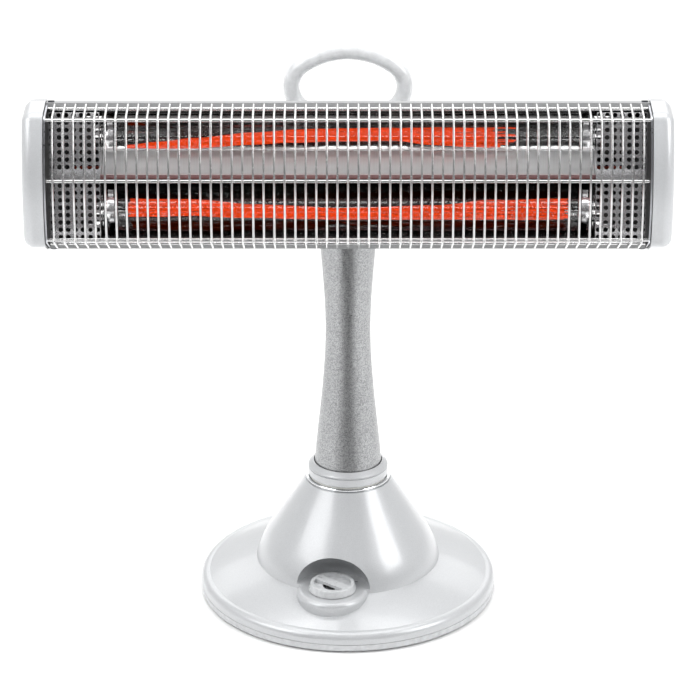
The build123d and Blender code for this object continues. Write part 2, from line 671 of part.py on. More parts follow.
def post_outline(inset):
    """Curve of the post's side, inset for the bore."""
    waist_rise = POST_WAIST - POST_FOOT
    foot_run = POST_FOOT_RADIUS - POST_WAIST_RADIUS
    top_rise = POST_TOP - POST_WAIST
    top_run = POST_TOP_RADIUS - POST_WAIST_RADIUS
    points = [(POST_FOOT_RADIUS, POST_FOOT)]
    for share_up, share_in in ((0.26, 0.30), (0.47, 0.61), (0.67, 0.85), (1.0, 1.0)):
        points.append((POST_FOOT_RADIUS - share_in * foot_run, POST_FOOT + share_up * waist_rise))
    for share_up, share_out in ((0.25, 0.14), (0.57, 0.48), (1.0, 1.0)):
        points.append((POST_WAIST_RADIUS + share_out * top_run, POST_WAIST + share_up * top_rise))
    return [(radius - inset, 0, height) for radius, height in points]


def post_solid(inset):
    """The post as a solid of revolution."""
    curve = post_outline(inset)
    foot, top = curve[0], curve[-1]
    return turned(
        Spline(*curve),
        Line(top, (0, 0, top[2])),
        Line((0, 0, top[2]), (0, 0, foot[2])),
        Line((0, 0, foot[2]), foot),
    )


def post_tube():
    """Waisted tube between the collar and the tilt hinge."""
    return post_solid(0) - post_solid(POST_WALL)


def handle_foot(grow):
    """Tongue under the handle that drops into the post head."""
    half = HANDLE_FOOT_HALF + grow
    thick = HANDLE_TUBE - 1.25 + grow
    return block(-half, half, HANDLE_Y - thick, HANDLE_Y + thick,
                 POST_HEAD_TOP - HANDLE_FOOT_DEPTH - grow, POST_HEAD_TOP + 5)


def handle_ring(grow):
    """Closed oval tube."""
    long_half = HANDLE_WIDTH / 2 - HANDLE_TUBE
    short_half = HANDLE_HEIGHT / 2 - HANDLE_TUBE
    plane = Plane(origin=(0, HANDLE_Y, HANDLE_Z), x_dir=(1, 0, 0), z_dir=(0, -1, 0))
    end_span = long_half - HANDLE_END_RADIUS
    crown = (end_span ** 2 / (short_half - HANDLE_END_RADIUS) + HANDLE_END_RADIUS + short_half) / 2
    lean = degrees(atan2(crown - short_half, end_span))
    arcs = []
    for turn in (0, 180):
        arcs.append(Rot(0, 0, turn) * CenterArc((end_span, 0), HANDLE_END_RADIUS, -lean, 2 * lean))
        arcs.append(Rot(0, 0, turn) * CenterArc((0, short_half - crown), crown, lean, 180 - 2 * lean))
    sections = []
    for arc in arcs:
        path = plane * arc
        sections.append(sweep(Plane(path @ 0, z_dir=path % 0) * Circle(HANDLE_TUBE + grow), path=path))
    return sections[0].fuse(*sections[1:])


def carry_handle():
    """Oval carrying ring with its mounting tongue."""
    return handle_ring(0) + handle_foot(0) - handle_screw_holes()


def handle_screws():
    """Two screws from behind that hold the handle's tongue."""
    screws = []
    for side in (-1, 1):
        x = side * HANDLE_FOOT_HALF * 0.55
        z = POST_HEAD_TOP - HANDLE_FOOT_DEPTH / 2
        shank = Pos(x, 0, z) * Rot(-90, 0, 0) * rod(SCREW_RADIUS, HANDLE_Y - 4, POST_HEAD_BACK)
        head = Pos(x, 0, z) * Rot(-90, 0, 0) * rod(SCREW_HEAD_RADIUS, POST_HEAD_BACK, POST_HEAD_BACK + 2)
        screws.append(shank + head)
    return Compound(screws)


def handle_screw_holes():
    """Clearance for those screws."""
    holes = []
    for side in (-1, 1):
        x = side * HANDLE_FOOT_HALF * 0.55
        z = POST_HEAD_TOP - HANDLE_FOOT_DEPTH / 2
        hole = rod(SCREW_RADIUS + SEAT, HANDLE_Y - 5, POST_HEAD_BACK + 3)
        holes.append(Pos(x, 0, z) * Rot(-90, 0, 0) * hole)
    return holes


def post_head():
    """Casting on top of the post: hinge nose in front, handle socket on top."""
    front = HINGE_Y - HINGE_NOSE
    face = Polyline(
        (front, POST_TOP), (front, HINGE_Z), (HINGE_Y, HINGE_Z), (HINGE_Y, HINGE_Z + HINGE_NOSE),
        (HANDLE_Y - HANDLE_TUBE - 3, POST_HEAD_TOP), (POST_HEAD_BACK, POST_HEAD_TOP),
        (POST_HEAD_BACK, POST_TOP + 14), (POST_HEAD_BACK - 8, POST_TOP), close=True)
    body = across(make_face(face), -POST_HEAD_HALF, POST_HEAD_HALF)
    back_corners = body.edges().filter_by(Axis.Z).group_by(Axis.Y)[-1]
    body = fillet(back_corners, 8.0)
    body += cross_rod(HINGE_NOSE, -POST_HEAD_HALF, POST_HEAD_HALF, HINGE_Y, HINGE_Z)
    body += rod(POST_TOP_RADIUS, POST_TOP, POST_TOP + 3)
    body += rod(POST_TOP_RADIUS - POST_WALL - 1.3, POST_TOP - 8, POST_TOP)
    past = POST_HEAD_HALF + EXTRA
    body -= cross_rod(HINGE_BOLT + RUNNING, -past, past, HINGE_Y, HINGE_Z)
    body -= rod(9, POST_TOP - 8 - EXTRA, POST_TOP + 34)
    body -= Pos(0, 0, POST_TOP + 26) * Rot(90, 0, 0) * rod(7, 0, POST_TOP_RADIUS)
    body -= handle_foot(SEAT)
    body -= handle_ring(0.05)
    for hole in handle_screw_holes():
        body -= hole
    return body


def friction_washers():
    """Fibre washers that hold the tilt."""
    washers = []
    for side in (-1, 1):
        inner = side * POST_HEAD_HALF
        outer = side * (POST_HEAD_HALF + WASHER_THICKNESS)
        low, high = min(inner, outer), max(inner, outer)
        disc = cross_rod(HINGE_NOSE - 1, low, high, HINGE_Y, HINGE_Z)
        washers.append(disc - cross_rod(HINGE_BOLT + 0.5, low - 1, high + 1, HINGE_Y, HINGE_Z))
    return Compound(washers)


def post_wires():
    """Three leads up the inside of the post."""
    leads = []
    for turn in range(3):
        x, y = around(120 * turn, 2.4)
        leads.append(rod(WIRE_RADIUS, GEAR_BOTTOM - 6, POST_TOP + 22, x, y))
    return Compound(leads)


# ---- head: casing ---------------------------------------------------------------------------------
def rear_outline(inset, front):
    """Edges of the back of the head, from the top front corner round to the bottom one."""
    half = HOUSING_HALF - inset
    back = HOUSING_BACK - inset
    flat = HOUSING_FLAT_END
    return [
        Line((front, half), (flat, half)),
        ThreePointArc((flat, half), (back, 0), (flat, -half)),
        Line((flat, -half), (front, -half)),
    ]


def housing_section(inset, front=HOUSING_FRONT):
    """Section of the back shell."""
    half = HOUSING_HALF - inset
    face = make_face(rear_outline(inset, front) + [Line((front, -half), (front, half))])
    corners = [v for v in face.vertices() if abs(v.X - HOUSING_FLAT_END) < 1e-3]
    return fillet(corners, HOUSING_ROUND - inset)


def cap_section(inset):
    """Section of the end caps: the housing's back and the grille's bulged front."""
    half = HOUSING_HALF - inset
    brow = (inset + 1.0, GRILLE_HALF + 1.5 - inset)
    chin = (brow[0], -brow[1])
    edges = rear_outline(inset, HOUSING_FRONT)
    edges += [
        Line((HOUSING_FRONT, -half), chin),
        ThreePointArc(chin, (-GRILLE_BULGE - 1.5 + inset, 0), brow),
        Line(brow, (HOUSING_FRONT, half)),
    ]
    face = make_face(edges)
    rear = [v for v in face.vertices() if abs(v.X - HOUSING_FLAT_END) < 1e-3]
    face = fillet(rear, HOUSING_ROUND - inset)
    front = [v for v in face.vertices() if abs(v.X - brow[0]) < 1e-3]
    return fillet(front, 9.0 - inset)


def head_back_shell():
    """Folded sheet housing with vent slots in its back."""
    shell = across(housing_section(0), -HOUSING_END, HOUSING_END)
    shell -= across(housing_section(HOUSING_WALL, HOUSING_FRONT - EXTRA), -HEAD_HALF, HEAD_HALF)
    for side in (-1, 1):
        edge = side * (HOUSING_HALF - 0.2)
        lip = side * (HOUSING_HALF - LIP)
        low, high = min(edge, lip), max(edge, lip)
        shell += block(-HOUSING_END, HOUSING_END, HOUSING_FRONT, HOUSING_FRONT + HOUSING_WALL, low, high)
    slots = []
    for row in (30, 38, 46):
        for column in range(SLOT_COUNT):
            x = (column - (SLOT_COUNT - 1) / 2) * SLOT_PITCH
            for z in (row, -row):
                slots.append(Pos(x, HOUSING_BACK - 6, z) * Box(SLOT_LENGTH, 22, SLOT_HEIGHT))
    shell -= slots
    shell -= Pos(0, HOUSING_BACK, LEAD_Z) * Rot(90, 0, 0) * Cylinder(LEAD_HOLE, 20)
    for x, z in bracket_holes():
        shell -= Pos(x, HOUSING_BACK, z) * Rot(90, 0, 0) * Cylinder(SCREW_RADIUS + SEAT, 12)
    for x, side in corner_places():
        skin = side * HOUSING_HALF
        shell -= rod(SCREW_RADIUS + SEAT, skin - 3, skin + 3, x, HOUSING_FRONT + 6)
    return shell


def end_cap():
    """Rounded hollow end cap of the right side."""
    cap = across(cap_section(-CAP_PROUD), CAP_INSIDE, HEAD_HALF)
    cap = fillet(cap.edges().group_by(Axis.X)[-1], CAP_ROUND)
    hollow = across(cap_section(CAP_WALL - CAP_PROUD), CAP_INSIDE - EXTRA, HEAD_HALF - CAP_WALL)
    return cap - fillet(hollow.edges().group_by(Axis.X)[-1], CAP_ROUND - CAP_WALL)


def cap_gaskets():
    """Dark seals between housing and caps."""
    gasket = across(cap_section(0.6), HOUSING_END, CAP_INSIDE) - across(
        cap_section(3.0), HOUSING_END - EXTRA, CAP_INSIDE + EXTRA)
    return Compound(mirrored(gasket))


def side_plates():
    """Sheet ends of the chamber, inside the back shell."""
    plate = across(cap_section(HOUSING_WALL + 0.15), INNER_END, HOUSING_END - 0.01)
    lip = block(INNER_END - 1, HOUSING_END + 1, HOUSING_FRONT - 0.1, HOUSING_FRONT + HOUSING_WALL + 0.1,
                HOUSING_HALF - LIP - 0.1, HOUSING_HALF + 1)
    plate -= lip
    plate -= mirror(lip, about=Plane.XY)
    return Compound(mirrored(plate))


def corner_places():
    """Where the corner screws sit: x and which side, top or bottom."""
    return [(x, side) for x in (-HOUSING_END + 4, HOUSING_END - 4) for side in (-1, 1)]


def corner_screws():
    """Small dark screws at the corners of the housing."""
    screws = []
    for x, side in corner_places():
        face = side * HOUSING_HALF
        y = HOUSING_FRONT + 6
        shank = rod(SCREW_RADIUS, min(face, face - 2 * side), max(face, face - 2 * side), x, y)
        head = rod(SCREW_HEAD_RADIUS - 0.4, min(face, face + 1.2 * side), max(face, face + 1.2 * side), x, y)
        screws.append(shank + head)
    return Compound(screws)


# ---- head: grille ---------------------------------------------------------------------------------
def grille_wires():
    """Bent wires, side by side along the whole opening."""
    rim = (0, HOUSING_FRONT - 1.2, GRILLE_RIM_HALF)
    brow = (0, 0, GRILLE_HALF)
    chin = (0, 0, -GRILLE_HALF)
    points = [rim, brow, (0, -GRILLE_CREST, 0), chin, (0, HOUSING_FRONT - 1.2, -GRILLE_RIM_HALF)]
    bent = wire(points, GRILLE_WIRE_RADIUS, [GRILLE_KNEE, GRILLE_BOW, GRILLE_KNEE])
    middle = (GRILLE_WIRES - 1) / 2
    return Compound([Pos((n - middle) * WIRE_PITCH, 0, 0) * bent for n in range(GRILLE_WIRES)])


def grille_bars():
    """Straight rods welded behind the wires."""
    gap = GRILLE_WIRE_RADIUS + GRILLE_BAR_RADIUS + 0.02
    rim = GRILLE_RIM_HALF - gap - 1.1
    places = [
        (-GRILLE_BULGE + gap + 2.0, 0),
        (gap, GRILLE_HALF - gap), (gap, -GRILLE_HALF + gap),
        (HOUSING_FRONT - 2.4, rim), (HOUSING_FRONT - 2.4, -rim),
    ]
    return Compound([cross_rod(GRILLE_BAR_RADIUS, -INNER_END, INNER_END, y, z) for y, z in places])


# ---- head: heating chamber --------------------------------------------------------------------------
def trough_section(inset):
    """Two round troughs side by side, as an area to cut."""
    lobes = [Pos(TROUGH_Y, side * TROUGH_Z) * Circle(TROUGH_RADIUS + inset) for side in (-1, 1)]
    return lobes[0] + lobes[1]


def reflector():
    """Polished double-trough mirror behind the tubes."""
    half = TROUGH_Z + TROUGH_RADIUS
    keep = block(-CHAMBER_END, CHAMBER_END, TROUGH_Y, HOUSING_BACK, -half - SHEET, half + SHEET)
    outer = across(trough_section(SHEET), -CHAMBER_END, CHAMBER_END)
    inner = across(trough_section(0), -CHAMBER_END - EXTRA, CHAMBER_END + EXTRA)
    return (outer - inner) & keep


def heat_shield():
    """Thin sheet between the mirror and the back shell."""
    far = HOUSING_WALL + SHIELD_GAP
    shield = across(housing_section(far), -CHAMBER_END, CHAMBER_END)
    shield -= across(housing_section(far + 0.6), -CHAMBER_END - EXTRA, CHAMBER_END + EXTRA)
    shield -= Pos(0, HOUSING_BACK, LEAD_Z) * Rot(90, 0, 0) * Cylinder(LEAD_HOLE + 1.5, 60)
    return shield & block(-HEAD_HALF, HEAD_HALF, HOUSING_FLAT_END + 6, HOUSING_BACK, -44, 44)


def vent_plate():
    """Perforated bright panel at the right end, folded back beside the mirror."""
    left = CHAMBER_END + 0.2
    right = INNER_END - 0.2
    plate = block(left, right, VENT_PLATE_Y - SHEET, VENT_PLATE_Y, -VENT_PLATE_HALF, VENT_PLATE_HALF)
    fold_back = HOUSING_FLAT_END + 8
    fold_half = VENT_PLATE_HALF - 8
    fold = block(left, left + SHEET, VENT_PLATE_Y - SHEET, fold_back, -fold_half, fold_half)
    plate += fold
    middle = (left + right) / 2
    holes = []
    for column in range(VENT_COLUMNS):
        x = middle + (column - (VENT_COLUMNS - 1) / 2) * VENT_PITCH
        for row in range(VENT_ROWS):
            for side in (-1, 1):
                z = side * (VENT_FIRST_ROW + VENT_PITCH * row)
                holes.append(Pos(x, VENT_PLATE_Y, z) * Rot(90, 0, 0) * Cylinder(VENT_HOLE, 4))
    plate -= holes
    for side in (-1, 1):
        plate -= cross_rod(TUBE_RADIUS + 1, left - 1, left + 3, TUBE_Y, side * TUBE_Z)
    return plate - cross_rod(7, left - 1, left + 3, fold_back - 5, 0)


def quartz_tube(side):
    """One clear quartz tube."""
    z = side * TUBE_Z
    return cross_rod(TUBE_RADIUS, -TUBE_HALF, TUBE_HALF, TUBE_Y, z) - cross_rod(
        TUBE_RADIUS - TUBE_WALL, -TUBE_HALF - 1, TUBE_HALF + 1, TUBE_Y, z)


def carbon_ribbon(side):
    """Twisted carbon ribbon inside a tube."""
    sections = []
    stations = 24
    for station in range(stations + 1):
        share = station / stations
        x = -RIBBON_HALF + 2 * RIBBON_HALF * share
        turn = 360 * RIBBON_TURNS * share
        plane = Plane(origin=(x, TUBE_Y, side * TUBE_Z), x_dir=(0, cos(radians(turn)), sin(radians(turn))),
                      z_dir=(1, 0, 0))
        sections.append(plane * Rectangle(RIBBON_WIDTH, RIBBON_THICKNESS))
    return loft(sections, ruled=True)


def tube_end_ceramics():
    """Ceramic caps on the four tube ends, each with its stud."""
    caps = []
    for side in (-1, 1):
        z = side * TUBE_Z
        cap = cross_rod(CERAMIC_RADIUS, TUBE_HALF - 4, TUBE_HALF + 16, TUBE_Y, z)
        cap -= cross_rod(TUBE_RADIUS + SEAT, TUBE_HALF - 5, TUBE_HALF + 1, TUBE_Y, z)
        cap += cross_rod(2, TUBE_HALF + 15, TUBE_HALF + 24, TUBE_Y, z)
        caps += mirrored(cap)
    return Compound(caps)


def tube_brackets():
    """Upright sheet that holds both ceramics at each end."""
    left = TUBE_HALF + 17
    plate = block(left, left + 1.2, VENT_PLATE_Y + 1, HOUSING_FLAT_END + 4, -47, 47)
    foot = block(left, INNER_END, VENT_PLATE_Y + 1, VENT_PLATE_Y + 2.2, -47, 47)
    plate += foot
    for side in (-1, 1):
        plate -= cross_rod(3, left - 1, left + 3, TUBE_Y, side * TUBE_Z)
    return Compound(mirrored(plate))


def head_terminal_block():
    """Terminal strip behind the ridge of the mirror."""
    strip = terminal_block(56, 16, 11, 4)
    return Pos(-120, HOUSING_BACK - 8.2, 0) * Rot(90, 0, 0) * strip


def thermal_cutout():
    """Round overheat cut-out behind the mirror."""
    disc = Pos(110, HOUSING_BACK - 11, 0) * Rot(90, 0, 0) * Cylinder(8, 5)
    return disc + block(96, 124, HOUSING_BACK - 8.5, HOUSING_BACK - 7.3, -5, 5)


def head_wires():
    """Leads from the terminal strip to the studs at the tube ends."""
    y = HOUSING_BACK - 14.5
    stud = TUBE_HALF + 22
    turn_x = TUBE_HALF + 26
    runs = []
    for side in (-1, 1):
        runs.append([(-149.5, y, side * 3.2), (-turn_x, y, side * 3.2), (-turn_x, TUBE_Y, side * (TUBE_Z - 5))])
        runs.append([(-90.5, y, side * 3.2), (90, y, side * 3.2)])
        runs.append([(125, y, side * 3.2), (turn_x, y, side * 3.2), (turn_x, TUBE_Y, side * (TUBE_Z - 5))])
    leads = [wire(points, 1.2, 5.0) for points in runs if len(points) > 2]
    for points in runs:
        if len(points) == 2:
            leads.append(cross_rod(1.2, points[0][0], points[1][0], points[0][1], points[0][2]))
    return Compound(leads)


# ---- tilt bracket -----------------------------------------------------------------------------------
def to_head(point_y, point_z):
    """The head-frame y, z of a row-frame y, z."""
    place = HEAD.inverse() * Pos(0, point_y, point_z)
    return place.position.Y, place.position.Z


def bracket_holes():
    """x, z of the four bracket screws, in the head's frame."""
    return [(x, z) for x in (-36, 36) for z in (-16, 16)]


def tilt_bracket():
    """Plate on the back of the head with two hinge ears."""
    axis_y, axis_z = to_head(HINGE_Y, HINGE_Z)
    rear = HOUSING_BACK + 2.5
    curve = across(housing_section(-0.02), -43, 43)
    plate = block(-43, 43, HOUSING_BACK - 6, rear, -22, 22) - curve
    for side in (-1, 1):
        low = min(side * EAR_INSIDE, side * EAR_OUTSIDE)
        ear = cross_rod(EAR_RADIUS, low, low + EAR_THICKNESS, axis_y, axis_z)
        high = low + EAR_THICKNESS
        ear += block(low, high, HOUSING_BACK + 1, axis_y, axis_z - EAR_RADIUS, axis_z + EAR_RADIUS)
        ear -= cross_rod(HINGE_BOLT + SEAT, low - 1, low + EAR_THICKNESS + 1, axis_y, axis_z)
        plate += ear
    for x, z in bracket_holes():
        plate -= Pos(x, HOUSING_BACK, z) * Rot(90, 0, 0) * Cylinder(SCREW_RADIUS + SEAT, 20)
    return plate


def bracket_screws():
    """Four screws that hold the bracket."""
    screws = []
    for x, z in bracket_holes():
        place = Pos(x, HOUSING_BACK + 2.5, z) * Rot(-90, 0, 0)
        screws.append(place * (rod(SCREW_RADIUS, -6, 0) + rod(SCREW_HEAD_RADIUS, 0, 2)))
    return Compound(screws)


def lead_grommet():
    """Rubber grommet where the lead enters the head."""
    axis = Pos(0, HOUSING_BACK, LEAD_Z) * Rot(-90, 0, 0)
    flange = axis * rod(LEAD_HOLE + 2, -9, 1) - across(housing_section(-SEAT), -20, 20)
    sleeve = axis * rod(LEAD_HOLE - SEAT, -11, 1)
    return flange + sleeve - axis * rod(LEAD_HOLE / 2, -12, 2)


def hinge_bolt():
    """Bolt through ears and post head."""
    head = extrude(Plane.YZ.offset(EAR_OUTSIDE) * Pos(HINGE_Y, HINGE_Z) * RegularPolygon(7.4, 6), 5)
    return cross_rod(HINGE_BOLT, -EAR_OUTSIDE - 9, EAR_OUTSIDE, HINGE_Y, HINGE_Z) + head


def spring_washer():
    """Washer that keeps the hinge tight."""
    return cross_rod(7.2, -EAR_OUTSIDE - 2, -EAR_OUTSIDE, HINGE_Y, HINGE_Z) - cross_rod(
        HINGE_BOLT + 0.2, -EAR_OUTSIDE - 3, -EAR_OUTSIDE + 1, HINGE_Y, HINGE_Z)


def hinge_nut():
    """Lock nut on the hinge bolt."""
    nut = extrude(Plane.YZ.offset(-EAR_OUTSIDE - 8) * Pos(HINGE_Y, HINGE_Z) * RegularPolygon(7.4, 6), 6)
    return nut - cross_rod(HINGE_BOLT + SEAT, -EAR_OUTSIDE - 10, -EAR_OUTSIDE, HINGE_Y, HINGE_Z)


# ---- everything -------------------------------------------------------------------------------------
right_cap = end_cap()
right_vent = vent_plate()

upright_pieces = {
    "base_shell": base_shell(), "base_pan": base_pan(), "ballast_plate": ballast_plate(),
    "rubber_feet": rubber_feet(), "pan_screws": pan_screws(), "trim_ring": trim_ring(),
    "bearing_bush": bearing_bush(), "thrust_washer": thrust_washer(),
    "rotary_switch": rotary_switch(), "switch_nut": switch_nut(), "dial_marks": dial_marks(),
    "tip_over_switch": tip_over_switch(), "base_terminal_block": base_terminal_block(),
    "cord_gland": cord_gland(), "cord_clamp": cord_clamp(), "swing_motor": swing_motor(),
    "motor_bracket": motor_bracket(), "base_wires": base_wires(),
    "knob": knob(), "switch_shaft": switch_shaft(),
    "drive_pinion": drive_pinion(), "motor_shaft": motor_shaft(),
    "post_tube": post_tube(), "post_head": post_head(), "carry_handle": carry_handle(),
    "handle_screws": handle_screws(), "swivel_collar": swivel_collar(), "swivel_hub": swivel_hub(),
    "swing_gear": swing_gear(), "gear_screws": gear_screws(),
    "friction_washers": friction_washers(), "post_wires": post_wires(),
    "hinge_bolt": hinge_bolt(), "spring_washer": spring_washer(), "hinge_nut": hinge_nut(),
}
head_pieces = {
    "head_back_shell": head_back_shell(), "right_end_cap": right_cap,
    "left_end_cap": mirror(right_cap, about=Plane.YZ), "cap_gaskets": cap_gaskets(),
    "side_plates": side_plates(), "corner_screws": corner_screws(),
    "grille_wires": grille_wires(), "grille_bars": grille_bars(),
    "reflector": reflector(), "heat_shield": heat_shield(), "right_vent_plate": right_vent,
    "left_vent_plate": mirror(right_vent, about=Plane.YZ),
    "upper_quartz_tube": quartz_tube(1), "lower_quartz_tube": quartz_tube(-1),
    "upper_carbon_ribbon": carbon_ribbon(1), "lower_carbon_ribbon": carbon_ribbon(-1),
    "tube_end_ceramics": tube_end_ceramics(), "tube_brackets": tube_brackets(),
    "head_terminal_block": head_terminal_block(), "thermal_cutout": thermal_cutout(),
    "head_wires": head_wires(), "tilt_bracket": tilt_bracket(),
    "bracket_screws": bracket_screws(), "lead_grommet": lead_grommet(),
}

os.makedirs("parts", exist_ok=True)
for name, solid in upright_pieces.items():
    export_step(solid, f"parts/{name}.step")
for name, solid in head_pieces.items():
    export_step(HEAD * solid, f"parts/{name}.step")
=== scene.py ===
import bpy
import json
import math
import random
from bpy.props import FloatProperty, FloatVectorProperty, IntProperty, PointerProperty
from mathutils import Matrix, Vector


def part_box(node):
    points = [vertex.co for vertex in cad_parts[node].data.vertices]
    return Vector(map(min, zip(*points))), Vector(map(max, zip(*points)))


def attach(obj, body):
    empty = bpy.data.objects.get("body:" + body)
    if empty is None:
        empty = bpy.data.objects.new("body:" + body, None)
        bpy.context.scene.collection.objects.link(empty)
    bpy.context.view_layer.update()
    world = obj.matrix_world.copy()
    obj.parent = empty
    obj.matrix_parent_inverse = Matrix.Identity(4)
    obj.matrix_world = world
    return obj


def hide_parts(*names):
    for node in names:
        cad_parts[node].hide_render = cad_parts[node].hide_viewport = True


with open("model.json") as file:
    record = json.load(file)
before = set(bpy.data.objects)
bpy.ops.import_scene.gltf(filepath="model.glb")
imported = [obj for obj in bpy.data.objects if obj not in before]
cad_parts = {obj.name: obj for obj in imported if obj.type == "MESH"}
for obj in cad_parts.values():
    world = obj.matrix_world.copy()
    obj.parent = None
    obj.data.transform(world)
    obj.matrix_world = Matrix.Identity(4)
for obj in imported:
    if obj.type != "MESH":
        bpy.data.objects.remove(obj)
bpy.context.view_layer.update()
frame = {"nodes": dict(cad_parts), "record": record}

bl_info = {
    "name": "Tabletop Carbon Heater",
    "version": (1, 0, 0),
    "blender": (4, 5, 0),
    "location": "View3D > Sidebar > Heater",
    "description": "Builds the looks of a tabletop carbon-tube heater around its fixed frame",
    "category": "Add Mesh",
}

MM = 0.001
TILT = math.radians(-11.0)
HEAD_TURN = Matrix.Rotation(TILT, 4, "X")
UPPER_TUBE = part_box("upper_quartz_tube")
LOWER_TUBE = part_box("lower_quartz_tube")
MIRROR_SIDE_GLOW = 0.12     # painted shade: the side of the carbon that faces the mirror gets a dimmer copy of the glow
FACES_MIRROR = 0.15         # how squarely a face must look at the mirror to get the painted shade
TOW_GAP = 0.006             # share of the ribbon left open on each side of a bundle
TOW_ROOM = 0.8              # how much of the bore's depth the ribbon's curl fills
COLLAR_AT = 0.205           # distance of the tube collars from the middle, metres
COLLAR_RADIUS = 0.0113
COLLAR_WIDTH = 0.006
LUG_HEIGHT = 0.006
LUG_THICKNESS = 0.0012
COLLAR_SHEET = 0.0006
COLLAR_BULGE = 0.05
FLOOR_SIZE = 16
FLOOR_DROP = 0.0002         # keeps the floor clear of the feet
CARD_SIZE = (0.62, 1.3, 1)
CARD_PLACE = (0, -0.95, 0.002)
AIR_STRENGTH = 0.80


def middle(box):
    """Centre of a node's box."""
    return (Vector(box[0]) + Vector(box[1])) / 2


FACE_MIDDLE = (middle(UPPER_TUBE) + middle(LOWER_TUBE)) / 2
PAINTED_REFLECTION_BANDS = (              # painted reflections on the mirror, with a painted warm glow line along the middle: height up the head's face in mm, share of full brightness, warm tint of the painted glow
    (-62, 0.50, 0), (-56, 0.45, 0), (-52, 0.06, 0), (-44, 0.16, 0), (-36, 0.04, 0),
    (-12, 0.03, 0), (-6, 0.03, 0), (-5, 0.95, 0.5), (-1, 0.95, 0.35), (1, 0.80, 0),
    (5, 1.0, 0), (18, 1.0, 0), (20, 0.06, 0), (26, 0.05, 0), (44, 0.14, 0), (47, 0.60, 0),
    (50, 0.30, 0), (62, 0.70, 0),
)


# ---- sizes and colours a user may change ------------------------------------------------------
class HeaterFinish(bpy.types.PropertyGroup):
    silver: FloatVectorProperty(
        name="Silver plastic", description="Colour of the base, collar and end caps",
        subtype="COLOR", default=(0.50, 0.51, 0.522))
    paint: FloatVectorProperty(
        name="Post paint", description="Mean colour of the speckled post paint",
        subtype="COLOR", default=(0.34, 0.345, 0.35))
    housing: FloatVectorProperty(
        name="Housing paint", description="Colour of the folded head housing",
        subtype="COLOR", default=(0.42, 0.425, 0.43))
    speckle: FloatProperty(
        name="Speckle size", description="Size of the flakes in the post paint",
        subtype="DISTANCE", default=0.00075)
    glow: FloatVectorProperty(
        name="Glow", description="Colour of the glowing carbon",
        subtype="COLOR", default=(1.0, 0.062, 0.004))
    glow_strength: FloatProperty(
        name="Glow strength", description="Brightness of the glowing carbon", default=1.15)


class HeaterCarbon(bpy.types.PropertyGroup):
    tows: IntProperty(
        name="Tows", description="Fibre bundles side by side in each ribbon", default=15)
    stations: IntProperty(
        name="Stations", description="Points along each bundle", default=150)
    half_length: FloatProperty(
        name="Half length", description="Half of the lit length",
        subtype="DISTANCE", default=0.192)
    bore: FloatProperty(
        name="Room", description="Radius inside the quartz that the ribbon may fill",
        subtype="DISTANCE", default=0.0093)
    thickness: FloatProperty(
        name="Thickness", description="Thickness of a bundle", subtype="DISTANCE", default=0.00035)


class HeaterStage(bpy.types.PropertyGroup):
    floor: FloatVectorProperty(
        name="Floor", description="Colour of the floor",
        subtype="COLOR", default=(0.93, 0.93, 0.93))
    eye: FloatVectorProperty(
        name="Eye", description="Place of the camera", subtype="XYZ", default=(0.0, -2.5, 1.274))
    pitch: FloatProperty(
        name="Pitch", description="How far the camera looks down",
        subtype="ANGLE", default=math.radians(22.5))
    lens: FloatProperty(name="Lens", description="Focal length in millimetres", default=155.07)


